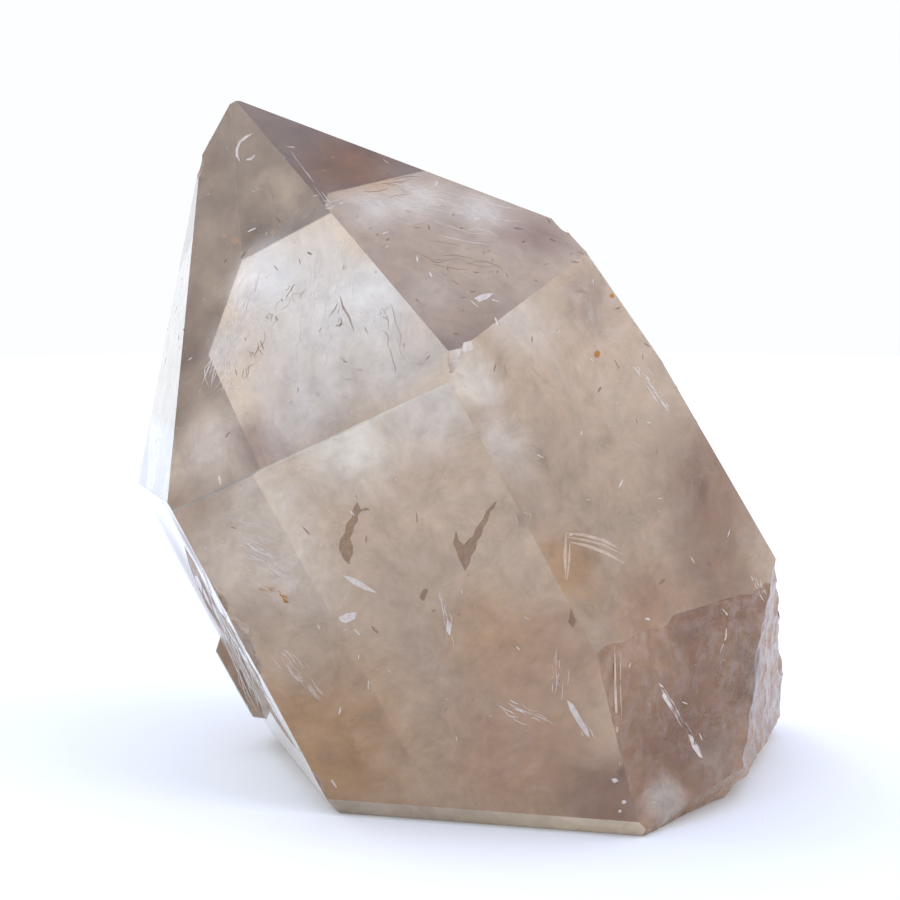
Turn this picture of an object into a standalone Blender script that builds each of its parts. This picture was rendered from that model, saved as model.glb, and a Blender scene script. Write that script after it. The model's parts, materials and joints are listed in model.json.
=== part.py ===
"""Citrine crystal point: one quartz crystal with six prism faces and a six-sided point.

It stands on its flattened base with its long axis leaning to the left, and its lower right corner is broken away.
Blender 4.5, metres, +Z up, the front towards -Y. Every size below is in millimetres and every angle in degrees.
"""

import math
from typing import NamedTuple

import bmesh
import bpy
from mathutils import Matrix, Vector, noise

MM = 0.001

# Driving dimensions of the whole crystal.
AXIS_LEAN = 28.8
RAW_BLOCK = 400.0
BASE_LEVEL = -0.7
# Bevels between the base and two of the faces, where the crystal was flattened to stand: height and depth.
BASE_BEVELS = {"front_left": (1.9, 1.5), "left": (1.5, 1.3)}


class Face(NamedTuple):
    """A natural face: its turn about the long axis, its normal's tilt from the axis, its distance from the foot."""

    turn: float
    tilt: float
    distance: float


# Ideal quartz has a prism face every 60 degrees at a tilt of 90, and a point face over each at a tilt of 51.8.
# This crystal's own faces wander from that by up to two degrees.
PRISM_FACES = {
    "front_left": Face(-105.8, 88.8, 25.5),
    "front_right": Face(-44.3, 89.7, 27.7),
    "left": Face(-165.9, 88.4, 28.4),
    "right": Face(16.0, 88.2, 29.5),
    "back_left": Face(136.0, 89.1, 31.6),
    "back": Face(76.2, 88.7, 28.5),
}
POINT_FACES = {
    "front_left": Face(-104.2, 51.6, 50.2),
    "front_right": Face(-46.4, 50.7, 54.2),
    "left": Face(-163.8, 51.9, 53.4),
    "right": Face(15.6, 53.0, 55.5),
    "back_left": Face(136.1, 50.9, 55.8),
    "back": Face(76.0, 49.6, 59.8),
}
# A narrow extra face rounds the shoulder between the right prism face and the point.
SHOULDER_FACE = Face(8.0, 82.8, 34.7)

# A low ledge on the left side, parallel to the faces there: how far it stands out, and the broken sides around it,
# each as a point and a direction out of the ledge.
LEDGE_RISE_LEFT = 1.3
LEDGE_RISE_BACK = 2.0
LEDGE_BREAKS = (
    ((-43.2, 16.0, 13.0), (-0.30, 0.35, 0.88)),
    ((-42.9, 15.0, 11.5), (-0.95, 0.00, 0.30)),
    ((-40.2, 15.0, 5.8), (-0.83, 0.00, -0.55)),
    ((-41.5, 9.0, 8.0), (-0.30, -0.93, 0.20)),
    ((-36.0, 24.0, 6.0), (0.10, 0.80, 0.60)),
    ((-30.0, 14.0, 6.0), (1.00, 0.00, 0.00)),
    ((-39.6, 12.0, 2.8), (-0.10, -0.20, -0.97)),
)


class Break(NamedTuple):
    """A fracture: its mean plane, its half width, and the relief of its surface."""

    point: tuple
    normal: tuple
    half_width: float
    strike: tuple
    ripple: float
    wavelength: float
    rough: float
    hollow: float
    grid: int


# The broken lower right corner, as five fractures that meet in ledges. Ripples spread from each strike point,
# given across and up the fracture, and the hollow is how far its top and bottom curl outward.
BREAKS = {
    "corner_front": Break((14.0, -18.0, 12.0), (0.68, -0.72, 0.14), 20.0, (14.0, 12.0), 0.12, 5.2, 0.22, 0.3, 28),
    "corner_side": Break((24.2, 5.0, 10.0), (0.957, -0.27, -0.06), 24.0, (-26.0, 14.0), 0.18, 3.6, 0.6, 1.8, 36),
    "corner_rear": Break((26.4, 15.0, 7.0), (0.93, 0.36, 0.06), 17.0, (-10.0, 12.0), 0.25, 5.5, 0.7, 0.8, 20),
    "corner_foot": Break((12.8, -21.0, 2.1), (0.64, -0.45, -0.63), 14.0, (9.0, 3.0), 0.12, 3.0, 0.4, 0.4, 20),
    "side_foot": Break((25.0, 2.0, 4.2), (0.71, -0.2, -0.68), 19.0, (-12.0, 8.0), 0.18, 3.8, 0.5, 0.4, 24),
}


class Chip(NamedTuple):
    """A shell-shaped chip on an edge or corner: where, which way out, the scoop's radius and its depth."""

    place: tuple
    outward: tuple
    radius: float
    depth: float


CHIPS = {
    "left_edge_large": Chip((-37.4, -19.1, 19.2), (-0.64, -0.70, -0.32), 6.0, 1.0),
    "left_edge_upper": Chip((-39.6, -19.0, 23.6), (-0.70, -0.66, -0.28), 4.0, 0.5),
    "left_edge_lower": Chip((-36.0, -19.1, 16.4), (-0.60, -0.74, -0.30), 3.2, 0.5),
    "left_edge_foot": Chip((-29.0, -19.3, 3.0), (-0.66, -0.66, -0.36), 4.0, 0.4),
    "front_corner": Chip((-13.6, -26.8, 50.6), (0.30, -0.80, 0.52), 5.0, 0.4),
    "front_corner_small": Chip((-12.0, -25.2, 51.2), (0.36, -0.68, 0.64), 3.0, 0.25),
    "tip_edge": Chip((-42.1, 3.2, 73.6), (-0.93, 0.2, 0.3), 4.0, 0.35),
    "tip_edge_low": Chip((-43.4, 2.4, 69.6), (-0.85, -0.4, 0.35), 3.0, 0.4),
    "shoulder": Chip((-1.6, -3.2, 62.6), (0.7, -0.2, 0.7), 4.0, 0.5),
    "back_left_edge": Chip((-21.6, 31.9, 12.4), (-0.27, 0.95, -0.12), 5.0, 0.5),
    "back_foot": Chip((14.0, 26.4, -0.3), (0.15, 0.80, -0.58), 6.0, 0.7),
    "back_left_foot": Chip((-26.0, 22.6, -0.1), (-0.62, 0.55, -0.55), 7.0, 1.2),
}
CHIP_WAVER = 0.05

# The stone's colour, as it looks through some thickness, and its polish.
CITRINE_COLOUR = (0.42, 0.27, 0.17, 1.0)
CITRINE_ROUGHNESS = 0.08
CITRINE_IOR = 1.544


def crystal_directions():
    """The leaning long axis and the two directions across it."""
    lean = math.radians(AXIS_LEAN)
    axis = Vector((-math.sin(lean), 0.0, math.cos(lean)))
    across = Vector((math.cos(lean), 0.0, math.sin(lean)))
    return axis, across, Vector((0.0, 1.0, 0.0))


def face_plane(face, raised=0.0):
    """A natural face as a point and an outward normal, raised by some millimetres."""
    axis, across, side = crystal_directions()
    turn, tilt = math.radians(face.turn), math.radians(face.tilt)
    outward = across * math.cos(turn) + side * math.sin(turn)
    normal = axis * math.cos(tilt) + outward * math.sin(tilt)
    return normal * (face.distance + raised), normal


def base_bevel_plane(face_name):
    """The bevel between a prism face and the base."""
    height, depth = BASE_BEVELS[face_name]
    point, normal = face_plane(PRISM_FACES[face_name])
    level = Vector((normal.x, normal.y, 0.0)).normalized()
    slope = (level * height + Vector((0.0, 0.0, -depth))).normalized()
    top = BASE_LEVEL + height
    reach = (point.dot(normal) - top * normal.z) / level.dot(normal)
    return level * reach + Vector((0.0, 0.0, top)), slope


def base_plane():
    """The flat base."""
    return Vector((0.0, 0.0, BASE_LEVEL)), Vector((0.0, 0.0, -1.0))


def convex_solid(planes):
    """A closed bmesh: a large block cut by each plane, given as a point and an outward normal."""
    mesh = bmesh.new()
    bmesh.ops.create_cube(mesh, size=RAW_BLOCK)
    for point, normal in planes:
        geometry = mesh.verts[:] + mesh.edges[:] + mesh.faces[:]
        bmesh.ops.bisect_plane(mesh, geom=geometry, dist=1e-5, plane_co=point, plane_no=normal, clear_outer=True)
        rim = [edge for edge in mesh.edges if edge.is_boundary]
        bmesh.ops.contextual_create(mesh, geom=rim)
    return mesh


def add_object(name, mesh):
    """Turn a bmesh in millimetres into an object in metres with its faces pointing out."""
    bmesh.ops.recalc_face_normals(mesh, faces=mesh.faces[:])
    bmesh.ops.scale(mesh, vec=(MM, MM, MM), verts=mesh.verts[:])
    data = bpy.data.meshes.new(name)
    mesh.to_mesh(data)
    mesh.free()
    thing = bpy.data.objects.new(name, data)
    bpy.context.collection.objects.link(thing)
    return thing


def whole_crystal():
    """The unbroken crystal: prism, point, shoulder face, flat base and base bevel."""
    planes = [face_plane(face) for face in PRISM_FACES.values()]
    planes += [face_plane(face) for face in POINT_FACES.values()]
    planes.append(face_plane(SHOULDER_FACE))
    planes.append(base_plane())
    planes += [base_bevel_plane(face_name) for face_name in BASE_BEVELS]
    return add_object("crystal_point", convex_solid(planes))


def side_ledge():
    """A low ledge of parallel growth at the foot of the left side: two raised faces, broken off all round."""
    planes = [
        face_plane(PRISM_FACES["left"], raised=LEDGE_RISE_LEFT),
        face_plane(PRISM_FACES["back_left"], raised=LEDGE_RISE_BACK),
    ]
    planes += [(Vector(point), Vector(normal).normalized()) for point, normal in LEDGE_BREAKS]
    return add_object("ledge_left", convex_solid(planes))


def fracture_relief(spec, across, up):
    """Height of a fracture over its mean plane: ripples spreading from the strike point, and a hackly waver."""
    distance = math.hypot(across - spec.strike[0], up - spec.strike[1])
    ripple = spec.ripple * math.cos(2.0 * math.pi * distance / spec.wavelength)
    spot = Vector((across, up, spec.normal[0] * 40.0))
    broad = noise.noise(spot / 7.0)
    fine = noise.noise(spot / 2.4)
    ridge = 1.0 - 2.0 * abs(noise.noise(spot / 4.5 + Vector((9.0, 3.0, 0.0))))
    curl = spec.hollow * (up / spec.half_width) ** 2
    return curl + ripple * (0.4 + abs(broad)) + spec.rough * (0.7 * broad + 0.25 * fine + 0.45 * ridge - 0.25)


def fracture_cutter(name, spec):
    """A block whose inner side is the fracture, placed on the fracture's mean plane."""
    mesh = bmesh.new()
    bmesh.ops.create_grid(mesh, x_segments=spec.grid, y_segments=spec.grid, size=spec.half_width)
    inner = mesh.verts[:]
    for vert in inner:
        vert.co.z = fracture_relief(spec, vert.co.x, vert.co.y)
    outer = bmesh.ops.extrude_face_region(mesh, geom=mesh.faces[:])
    for vert in outer["geom"]:
        if isinstance(vert, bmesh.types.BMVert):
            vert.co.z = spec.half_width
    turn = Vector(spec.normal).normalized().to_track_quat("Z", "Y").to_matrix().to_4x4()
    bmesh.ops.transform(mesh, matrix=Matrix.Translation(spec.point) @ turn, verts=mesh.verts[:])
    return add_object(name, mesh)


def chip_cutter(name, spec):
    """A slightly wavering ball that bites into an edge to the chip's depth."""
    mesh = bmesh.new()
    bmesh.ops.create_icosphere(mesh, subdivisions=3, radius=spec.radius)
    for vert in mesh.verts:
        waver = noise.noise(vert.co * (4.0 / spec.radius) + Vector(spec.place))
        vert.co *= 1.0 + CHIP_WAVER * waver
    centre = Vector(spec.place) + Vector(spec.outward).normalized() * (spec.radius - spec.depth)
    bmesh.ops.translate(mesh, vec=centre, verts=mesh.verts[:])
    return add_object(name, mesh)


def combine(body, tool, operation):
    """Join a tool to the crystal, or cut it away, and leave the tool as a wire guide riding on the crystal."""
    tool.hide_render = True
    tool.display_type = "WIRE"
    tool.parent = body
    boolean = body.modifiers.new(tool.name, "BOOLEAN")
    boolean.operation = operation
    boolean.solver = "EXACT"
    boolean.object = tool


def citrine_material():
    """Clear brownish quartz with a natural polish."""
    material = bpy.data.materials.new("citrine")
    material.use_nodes = True
    shader = material.node_tree.nodes["Principled BSDF"]
    shader.inputs["Base Color"].default_value = CITRINE_COLOUR
    shader.inputs["Roughness"].default_value = CITRINE_ROUGHNESS
    shader.inputs["Metallic"].default_value = 0.0
    shader.inputs["IOR"].default_value = CITRINE_IOR
    shader.inputs["Transmission Weight"].default_value = 1.0
    return material


def centre_over_origin(body):
    """Move the crystal so that its box stands on the origin, centred over it."""
    bpy.context.view_layer.update()
    finished = body.evaluated_get(bpy.context.evaluated_depsgraph_get())
    corners = [Vector(corner) for corner in finished.bound_box]
    low = [min(corner[i] for corner in corners) for i in range(3)]
    high = [max(corner[i] for corner in corners) for i in range(3)]
    body.location = (-(low[0] + high[0]) / 2.0, -(low[1] + high[1]) / 2.0, -low[2])
    bpy.context.view_layer.update()


def main():
    """Build the crystal."""
    for thing in list(bpy.data.objects):
        bpy.data.objects.remove(thing, do_unlink=True)
    crystal = whole_crystal()
    combine(crystal, side_ledge(), "UNION")
    for name, spec in BREAKS.items():
        combine(crystal, fracture_cutter(name, spec), "DIFFERENCE")
    for name, spec in CHIPS.items():
        combine(crystal, chip_cutter(name, spec), "DIFFERENCE")
    crystal.data.materials.append(citrine_material())
    centre_over_origin(crystal)


main()
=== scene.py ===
"""Citrine crystal point: a free-standing, pale grey-brown quartz crystal with milky veils inside.

Everything is in metres in the frame of the CAD part, unless a name ends in _mm.
"""

import json
import logging
import math
import random
from dataclasses import dataclass, field
from enum import Enum

import bmesh
import bpy
from mathutils import Matrix, Vector, noise
from mathutils.bvhtree import BVHTree

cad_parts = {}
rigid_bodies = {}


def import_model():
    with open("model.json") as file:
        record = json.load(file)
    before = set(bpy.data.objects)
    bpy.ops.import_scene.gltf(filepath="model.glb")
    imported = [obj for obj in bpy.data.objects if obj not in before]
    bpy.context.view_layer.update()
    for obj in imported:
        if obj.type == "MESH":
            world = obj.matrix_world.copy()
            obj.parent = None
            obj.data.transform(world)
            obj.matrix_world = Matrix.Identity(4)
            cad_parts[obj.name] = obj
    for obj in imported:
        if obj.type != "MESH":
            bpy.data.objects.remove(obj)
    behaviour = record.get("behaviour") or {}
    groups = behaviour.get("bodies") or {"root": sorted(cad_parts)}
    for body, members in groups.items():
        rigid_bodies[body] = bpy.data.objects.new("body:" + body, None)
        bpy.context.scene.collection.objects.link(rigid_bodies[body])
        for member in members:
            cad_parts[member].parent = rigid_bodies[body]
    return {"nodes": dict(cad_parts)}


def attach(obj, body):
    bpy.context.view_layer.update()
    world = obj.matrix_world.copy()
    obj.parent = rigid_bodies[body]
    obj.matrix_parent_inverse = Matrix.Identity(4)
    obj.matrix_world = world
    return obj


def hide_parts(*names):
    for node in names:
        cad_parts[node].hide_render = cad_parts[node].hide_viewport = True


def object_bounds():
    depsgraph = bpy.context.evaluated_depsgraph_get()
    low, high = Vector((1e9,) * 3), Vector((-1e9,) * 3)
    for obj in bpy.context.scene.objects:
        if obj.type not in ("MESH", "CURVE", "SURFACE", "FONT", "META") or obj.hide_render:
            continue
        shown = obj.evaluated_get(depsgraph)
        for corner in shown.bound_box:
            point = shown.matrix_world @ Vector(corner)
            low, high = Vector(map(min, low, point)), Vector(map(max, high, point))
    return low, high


for leftover in list(bpy.data.objects):
    bpy.data.objects.remove(leftover)
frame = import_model()
CAD_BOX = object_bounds()

LOG = logging.getLogger("citrine_point")
MM = 0.001
CAD_NODE = "crystal_point"
BODY = "root"
AXIS_LEAN = math.radians(28.8)
AXIS = Vector((-math.sin(AXIS_LEAN), 0.0, math.cos(AXIS_LEAN)))
ACROSS = Vector((math.cos(AXIS_LEAN), 0.0, math.sin(AXIS_LEAN)))
SIDE = Vector((0.0, 1.0, 0.0))
QUARTZ_IOR = 1.544
# Depths under the skin: a negative one stands proud of it, and the stain lies lower than the other marks.
SKIN_MM = -0.015
STAIN_MM = -0.005
WELD_MM = 0.002
PER_CM3 = 1e6
NOISE_MEAN = (0.5, 0.5, 0.5)
STONE_BOUNCES = 12
GLOSS_BOUNCES = 6
# The Mix node has sockets of the same name for each kind of value, so they go by number.
MIX_SHARE, VECTOR_LOW, VECTOR_HIGH, COLOUR_LOW, COLOUR_HIGH = 0, 4, 5, 6, 7
VECTOR_OUT, COLOUR_OUT = 1, 2

Pixel = tuple[float, float]


def linear(hex_colour: str) -> tuple[float, float, float, float]:
    """Turns an sRGB hex colour into linear light.

    Args:
        hex_colour: six hex digits, such as "c8b4a2".

    Returns:
        Red, green, blue and an alpha of 1.
    """
    parts = [int(hex_colour[at:at + 2], 16) / 255 for at in (0, 2, 4)]
    red, green, blue = (p / 12.92 if p <= 0.04045 else ((p + 0.055) / 1.055) ** 2.4 for p in parts)
    return red, green, blue, 1.0


def add_node(tree: bpy.types.NodeTree, kind: str, inputs: dict | None = None,
             **settings: object) -> bpy.types.Node:
    """Adds a node, with its settings and what goes into it.

    Args:
        tree: the material's node tree.
        kind: the node's type name, without its leading "ShaderNode".
        inputs: a value, or the socket of another node, for each input's name or number.
        settings: the node's own settings.

    Returns:
        The new node.
    """
    node = tree.nodes.new("ShaderNode" + kind)
    for name, value in settings.items():
        setattr(node, name, value)
    for name, value in (inputs or {}).items():
        if isinstance(value, bpy.types.NodeSocket):
            tree.links.new(value, node.inputs[name])
        else:
            node.inputs[name].default_value = value
    return node


def new_material(name: str) -> tuple[bpy.types.Material, bpy.types.NodeTree, bpy.types.Node]:
    """Makes an empty node material.

    Args:
        name: what the finish is.

    Returns:
        The material, its node tree and its output node.
    """
    material = bpy.data.materials.new(name)
    material.use_nodes = True
    tree = material.node_tree
    tree.nodes.clear()
    return material, tree, add_node(tree, "OutputMaterial")


@dataclass(frozen=True)
class Pattern:
    """An uneven pattern: the size of its patches, how much finer detail it has and how strong that is."""

    size_mm: float
    detail: float
    roughness: float

    @property
    def numbers(self) -> dict[str, float]:
        """The noise's numbers, with its scale in patches along a metre."""
        return {"Scale": 1 / (self.size_mm * MM), "Detail": self.detail, "Roughness": self.roughness}


@dataclass(frozen=True)
class Span:
    """A range of a pattern's values, and the range that it is stretched to."""

    start: float
    end: float
    low: float = 0.0
    high: float = 1.0

    @property
    def ends(self) -> dict[str, float]:
        """The ends of both ranges."""
        return {"From Min": self.start, "From Max": self.end, "To Min": self.low, "To Max": self.high}


class Face(Enum):
    """A face of the crystal. A grown one is given by its turn about the long axis and its lean from it."""

    FRONT_LEFT = (-105.8, 88.8)
    FRONT_RIGHT = (-44.3, 89.7)
    LEFT = (-165.9, 88.4)
    RIGHT = (16.0, 88.2)
    BACK_LEFT = (136.0, 89.1)
    BACK = (76.2, 88.7)
    POINT_FRONT_LEFT = (-104.2, 51.6)
    POINT_FRONT_RIGHT = (-46.4, 50.7)
    POINT_LEFT = (-163.8, 51.9)
    POINT_RIGHT = (15.6, 53.0)
    POINT_BACK_LEFT = (136.1, 50.9)
    POINT_BACK = (76.0, 49.6)
    FOOT = "flat, but not grown: the base and the ledge"
    EDGE = "eased between two flat faces"
    BROKEN = "broken"

    @property
    def grown(self) -> bool:
        """Whether the crystal grew this face."""
        return isinstance(self.value, tuple)

    def outward(self) -> Vector:
        """Gives a grown face's outward direction.

        Returns:
            The direction, of length 1.
        """
        turn, lean = (math.radians(angle) for angle in self.value)
        around = ACROSS * math.cos(turn) + SIDE * math.sin(turn)
        return AXIS * math.cos(lean) + around * math.sin(lean)

    def shift(self) -> Vector:
        """Gives the shift that takes this face out of reach of the clouds behind the others."""
        return Vector((float(list(Face).index(self)), 0.0, 0.0))

    def flow(self, stretch: float) -> Vector:
        """Gives the direction in which the skin is drawn out: across the prism, and down the point.

        Args:
            stretch: how many times longer than wide its pattern is.

        Returns:
            The direction, whose squared length is the share of the way along it that the pattern drops.
        """
        if not self.grown:
            return Vector()
        across = self.outward().cross(AXIS).normalized()
        way = self.outward().cross(across) if self.name.startswith("POINT") else across
        return way * math.sqrt(1 - 1 / stretch)


class Tone(Enum):
    """The tones of the haze, from milk to smoke, and of the painted light."""

    FROST = "f7f7f1"
    WATER = "f3eee1"
    MILK = "ebe6db"
    IVORY = "e2dac9"
    PEARL = "d3cabd"
    STRAW = "f8ddb9"
    CREAM = "d0bfa9"
    SAND = "ccb294"
    FAWN = "baa186"
    HONEY = "b3895b"
    AMBER = "d49a5c"
    TAN = "a57f60"
    ROSE = "98806f"
    UMBER = "856350"
    SMOKE = "764e38"
    PEAT = "5c3f2e"


@dataclass(frozen=True)
class FaceHaze:
    """How a face looks before its clouds: the haze's tone, how much light passes, its wisps and its skin."""

    face: Face
    tone: Tone
    clear: float
    wisps: float = 0.1
    roughness: float = 0.03
    relief: float = 0.0
    stretch: float = 2.5


@dataclass(frozen=True)
class Cloud:
    """A soft cloud of milk, smoke or painted light behind one face: its middle in the photo, its size and
    its look.

    A far cloud lies on the back of the stone, where the photo shows it through the front.
    """

    face: Face
    column: float
    row: float
    radius_mm: float
    tone: Tone
    clear: float
    share: float = 0.9
    wisps: float = 0.05
    roughness: float = 0.03
    far: bool = False


@dataclass(frozen=True)
class MilkyQuartz:
    """Natural quartz with milky haze: glassy grown faces, dull broken ones, pale brown all through.

    The stone takes its smoke from natural radiation, which darkens what is seen through a long path. Tiny
    fluid bubbles scatter light as a milky haze, which gives back part of the light as a soft warm white.
    Grown faces are as smooth as glass, and broken ones are shell-shaped and waxy, with a fine grain. Real
    bubbles are too fine to show, so the haze is drawn as flecks and wisps of a few millimetres.
    """

    name: str = "milky_smoky_quartz"
    smoke_hex: str = "ccbca3"
    smoke_per_metre: float = 25.0
    wisp_hex: str = "fbf6f2"
    sway_mm: float = 5.0
    grain_depth_mm: float = 0.12
    plain_clear: float = 0.6
    cloud_core: float = 0.15
    mottle: Pattern = Pattern(9.0, 1.0, 0.6)
    flecks: Pattern = Pattern(2.6, 3.0, 0.7)
    threads: Pattern = Pattern(2.6, 4.0, 0.68)
    grain: Pattern = Pattern(0.9, 1.0, 0.5)
    fleck_shade: Span = Span(0.3, 0.7, 0.82, 1.1)
    wisp_share: Span = Span(0.48, 0.7)
    thread_shade: Span = Span(0.44, 0.3, 1.0, 0.88)
    clear_change: Span = Span(0.3, 0.7, 0.08, -0.08)
    faces: tuple[FaceHaze, ...] = (
        FaceHaze(Face.FRONT_LEFT, Tone.FAWN, 0.32, 0.06, stretch=1.5),
        FaceHaze(Face.FRONT_RIGHT, Tone.FAWN, 0.4, 0.05, stretch=1.5),
        FaceHaze(Face.LEFT, Tone.FROST, 0.45, 0.0, 0.06, 0.3, 14.0),
        FaceHaze(Face.RIGHT, Tone.SAND, 0.5, 0.2, 0.04, 0.1, 8.0),
        FaceHaze(Face.BACK_LEFT, Tone.CREAM, 0.6, 0.25, 0.04, 0.1, 8.0),
        FaceHaze(Face.BACK, Tone.WATER, 0.88, 0.1, stretch=6.0),
        FaceHaze(Face.POINT_FRONT_LEFT, Tone.STRAW, 0.78, 0.1, stretch=4.0),
        FaceHaze(Face.POINT_FRONT_RIGHT, Tone.FAWN, 0.74, 0.1, stretch=5.0),
        FaceHaze(Face.POINT_LEFT, Tone.FROST, 0.5, 0.0, 0.05, 0.15, 8.0),
        FaceHaze(Face.POINT_RIGHT, Tone.WATER, 0.8, 0.3),
        FaceHaze(Face.POINT_BACK_LEFT, Tone.WATER, 0.8, 0.3),
        FaceHaze(Face.POINT_BACK, Tone.WATER, 0.85, 0.3),
        FaceHaze(Face.FOOT, Tone.CREAM, 0.4, 0.0, 0.15, 0.2),
        # The eased edges get a pale tone as a painted highlight along them.
        FaceHaze(Face.EDGE, Tone.IVORY, 0.6, 0.0, 0.12),
        FaceHaze(Face.BROKEN, Tone.TAN, 0.4, 0.08, 0.22, 1.0),
    )
    clouds: tuple[Cloud, ...] = (
        # The pale pearl, milk and frost clouds on the point's front left face are painted light: the bright
        # patch where light from behind comes through the back face.
        Cloud(Face.POINT_FRONT_LEFT, 330, 350, 17.0, Tone.PEARL, 0.58, 0.95, 0.3),
        Cloud(Face.POINT_FRONT_LEFT, 300, 285, 11.0, Tone.MILK, 0.62, 0.9, 0.5),
        Cloud(Face.POINT_FRONT_LEFT, 262, 275, 6.0, Tone.FROST, 0.45, 0.7, 0.6),
        Cloud(Face.POINT_FRONT_LEFT, 370, 300, 8.0, Tone.FROST, 0.65, 0.9, 0.35),
        Cloud(Face.POINT_FRONT_LEFT, 222, 350, 5.0, Tone.PEARL, 0.45, 0.8, 0.5),
        Cloud(Face.POINT_FRONT_LEFT, 212, 455, 8.5, Tone.CREAM, 0.22, 0.9, 0.2),
        Cloud(Face.POINT_FRONT_LEFT, 262, 442, 6.0, Tone.ROSE, 0.3, 0.9, 0.1),
        Cloud(Face.POINT_FRONT_LEFT, 270, 192, 6.5, Tone.STRAW, 0.58, 0.75),
        Cloud(Face.POINT_FRONT_LEFT, 405, 360, 8.0, Tone.PEARL, 0.55, 0.9, 0.3),
        Cloud(Face.POINT_FRONT_LEFT, 308, 405, 7.0, Tone.PEARL, 0.5, 0.8, 0.3),
        Cloud(Face.POINT_FRONT_RIGHT, 350, 165, 8.0, Tone.AMBER, 0.78),
        Cloud(Face.POINT_FRONT_RIGHT, 372, 208, 5.0, Tone.IVORY, 0.55, 0.6, 0.5),
        Cloud(Face.POINT_FRONT_RIGHT, 420, 203, 5.5, Tone.IVORY, 0.5, 0.7, 0.6),
        Cloud(Face.POINT_FRONT_RIGHT, 478, 215, 5.0, Tone.PEARL, 0.5, 0.6, 0.6),
        Cloud(Face.POINT_FRONT_RIGHT, 540, 240, 6.0, Tone.UMBER, 0.7),
        Cloud(Face.POINT_FRONT_RIGHT, 450, 320, 6.0, Tone.SAND, 0.65, 0.7),
        Cloud(Face.POINT_FRONT_RIGHT, 425, 292, 5.0, Tone.CREAM, 0.6, 0.7, 0.3),
        # These three pale clouds under the edge of the point are a painted light band on the front left
        # face, fading down from that edge.
        Cloud(Face.FRONT_LEFT, 262, 500, 9.0, Tone.CREAM, 0.24, 0.85, 0.15),
        Cloud(Face.FRONT_LEFT, 345, 440, 8.0, Tone.IVORY, 0.28, 0.8, 0.25),
        Cloud(Face.FRONT_LEFT, 425, 405, 7.5, Tone.PEARL, 0.32, 0.7, 0.25),
        Cloud(Face.FRONT_LEFT, 225, 560, 8.0, Tone.CREAM, 0.28, 0.6),
        Cloud(Face.FRONT_LEFT, 300, 570, 8.0, Tone.CREAM, 0.24, 0.7, 0.25),
        Cloud(Face.FRONT_LEFT, 410, 560, 13.0, Tone.SAND, 0.36, 0.5),
        Cloud(Face.FRONT_LEFT, 320, 740, 17.0, Tone.HONEY, 0.34),
        Cloud(Face.FRONT_LEFT, 520, 750, 14.0, Tone.TAN, 0.38),
        Cloud(Face.FRONT_LEFT, 610, 800, 9.0, Tone.UMBER, 0.42),
        Cloud(Face.FRONT_LEFT, 570, 650, 10.0, Tone.TAN, 0.34, 0.75),
        Cloud(Face.FRONT_LEFT, 290, 640, 7.0, Tone.SAND, 0.3, 0.7),
        Cloud(Face.FRONT_LEFT, 490, 635, 9.0, Tone.HONEY, 0.34, 0.6),
        Cloud(Face.FRONT_RIGHT, 568, 570, 7.0, Tone.HONEY, 0.4, 0.75),
        # These three pale clouds along the top and left of the front right face are a painted light band
        # there.
        Cloud(Face.FRONT_RIGHT, 470, 375, 5.0, Tone.IVORY, 0.42, 0.7, 0.3),
        Cloud(Face.FRONT_RIGHT, 500, 445, 6.0, Tone.PEARL, 0.42, 0.55, 0.2),
        Cloud(Face.FRONT_RIGHT, 520, 320, 7.0, Tone.PEARL, 0.42, 0.5, 0.2),
        Cloud(Face.FRONT_RIGHT, 590, 300, 6.0, Tone.ROSE, 0.45, 0.8, 0.2),
        Cloud(Face.FRONT_RIGHT, 712, 490, 13.0, Tone.SMOKE, 0.5, 0.8),
        Cloud(Face.FRONT_RIGHT, 705, 495, 2.2, Tone.PEAT, 0.4, 0.45),
        Cloud(Face.FRONT_RIGHT, 724, 588, 11.0, Tone.SMOKE, 0.42, 0.72),
        Cloud(Face.FRONT_RIGHT, 655, 620, 10.0, Tone.TAN, 0.42, 0.85),
        Cloud(Face.BROKEN, 690, 720, 15.0, Tone.SMOKE, 0.45, 0.8, 0.05, 0.2),
        Cloud(Face.BROKEN, 650, 650, 8.0, Tone.TAN, 0.42, 0.9, 0.1, 0.1),
        Cloud(Face.BROKEN, 708, 618, 9.0, Tone.SMOKE, 0.45, 0.8, 0.1, 0.12),
        Cloud(Face.BROKEN, 752, 610, 7.0, Tone.SMOKE, 0.45, 0.9, 0.1, 0.2),
        Cloud(Face.BROKEN, 755, 680, 7.0, Tone.PEAT, 0.4, 0.8, 0.1, 0.25),
        Cloud(Face.BROKEN, 718, 762, 6.0, Tone.ROSE, 0.35, 0.6, 0.1, 0.25),
        Cloud(Face.BROKEN, 665, 808, 4.0, Tone.PEARL, 0.45, 0.7, 0.2, 0.25),
        # The pale chip at the front corner below the point is partly white bruising and partly a painted
        # highlight.
        Cloud(Face.BROKEN, 465, 352, 4.0, Tone.IVORY, 0.45, 0.9, 0.2, 0.12),
        Cloud(Face.BROKEN, 222, 600, 6.0, Tone.SAND, 0.45, 0.9, 0.2, 0.2),
        Cloud(Face.BROKEN, 246, 645, 6.0, Tone.FAWN, 0.45, 0.9, 0.2, 0.2),
        Cloud(Face.LEFT, 205, 600, 17.0, Tone.ROSE, 0.4, 0.8, 0.1, 0.3),
        Cloud(Face.FOOT, 232, 660, 14.0, Tone.TAN, 0.4, 0.8, 0.1, 0.3),
        Cloud(Face.LEFT, 188, 545, 7.0, Tone.UMBER, 0.3, 0.8, 0.0, 0.4),
        Cloud(Face.BACK, 420, 640, 26.0, Tone.FAWN, 0.3, 1.0, far=True),
    )

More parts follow.
